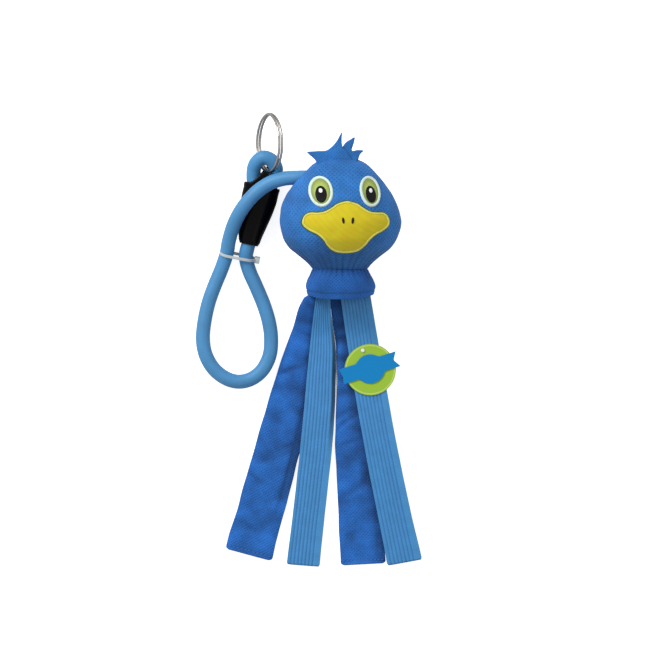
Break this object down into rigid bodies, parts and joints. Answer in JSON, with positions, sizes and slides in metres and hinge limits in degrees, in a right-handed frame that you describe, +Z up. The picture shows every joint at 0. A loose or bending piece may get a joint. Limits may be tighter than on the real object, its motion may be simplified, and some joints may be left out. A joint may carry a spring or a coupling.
{
  "type": "bungee tug toy",
  "caption": "Stuffed duck-head tug toy with fabric and ribbed elastic straps, a looped rubber bungee tube, rope clamp and split ring.",
  "frame": {"origin": "on the surface it lies on, at the flat under the back of the stuffed head", "axes": "+Y from the straps toward the crown of the head, +Z up out of the face, +X to the right seen from above"},
  "size_m": [0.1577, 0.3147, 0.066],
  "materials": {
    "mesh_fabric": "matte open mesh",
    "strap_fabric": "matte close weave",
    "elastic": "satin ribbed knit",
    "core_elastic": "matte",
    "felt": "matte felt",
    "border_thread": "satin thread",
    "white_thread": "satin thread",
    "lime_thread": "satin thread",
    "black_thread": "satin thread",
    "filling": "loose fibre",
    "seam_tape": "matte woven",
    "lime_card": "coated card",
    "blue_card": "coated card",
    "nylon_pin": "moulded",
    "tube_rubber": "satin extruded",
    "clamp_plastic": "satin moulded",
    "ring_steel": "polished wire",
    "tie_nylon": "clear moulded",
    "stop_plastic": "moulded"
  },
  "bodies": {
    "head": {"beak_border": "border_thread", "beak_patch": "felt", "bungee_tube": "tube_rubber", "cable_tie": "tie_nylon", "clamp_lower_half": "clamp_plastic", "clamp_upper_half": "clamp_plastic", "head_cover_back": "mesh_fabric", "head_cover_front": "mesh_fabric", "head_filling": "filling", "left_eye_glint": "white_thread", "left_eye_green": "lime_thread", "left_eye_pupil": "black_thread", "left_eye_white": "white_thread", "neck_band": "seam_tape", "neck_collar": "mesh_fabric", "nostril_left": "black_thread", "nostril_right": "black_thread", "right_eye_glint": "white_thread", "right_eye_green": "lime_thread", "right_eye_pupil": "black_thread", "right_eye_white": "white_thread", "sewn_strap_ends": "seam_tape", "tube_end_stop": "stop_plastic", "tube_eye": "tube_rubber", "tuft_back": "mesh_fabric", "tuft_front": "mesh_fabric"},
    "left_fabric_strap": {"fabric_strap_left_cover": "strap_fabric", "fabric_strap_left_core": "core_elastic"},
    "left_elastic_strap": {"elastic_strap_left": "elastic"},
    "right_fabric_strap": {"fabric_strap_right_cover": "strap_fabric", "fabric_strap_right_core": "core_elastic"},
    "right_elastic_strap": {"elastic_strap_right": "elastic", "tag_pin": "nylon_pin"},
    "hang_tag": {"tag_disc": "lime_card", "tag_band": "blue_card"},
    "split_ring": {"split_ring": "ring_steel"}
  },
  "joints": [
    {"name": "left_fabric_lift", "type": "hinge", "parent": "head", "child": "left_fabric_strap", "pos_m": [-0.0145, -0.06, 0.0126], "axis": [-1, 0, 0], "range_deg": [0, 70]},
    {"name": "left_elastic_lift", "type": "hinge", "parent": "left_fabric_strap", "child": "left_elastic_strap", "pos_m": [-0.0118, -0.06, 0.0126], "axis": [-1, 0, 0], "range_deg": [0, 30]},
    {"name": "right_fabric_lift", "type": "hinge", "parent": "head", "child": "right_fabric_strap", "pos_m": [0.0066, -0.06, 0.0126], "axis": [-1, 0, 0], "range_deg": [0, 70]},
    {"name": "right_elastic_lift", "type": "hinge", "parent": "right_fabric_strap", "child": "right_elastic_strap", "pos_m": [0.0112, -0.06, 0.0126], "axis": [-1, 0, 0], "range_deg": [0, 30]},
    {"name": "tag_swing", "type": "hinge", "parent": "right_elastic_strap", "child": "hang_tag", "pos_m": [0.016, -0.0956, 0.0062], "axis": [0, 0, 1], "range_deg": [-12, 30]},
    {"name": "ring_swing", "type": "hinge", "parent": "head", "child": "split_ring", "pos_m": [-0.0522, 0.031, 0.0135], "axis": [0, 1, 0], "range_deg": [-35, 0]}
  ]
}
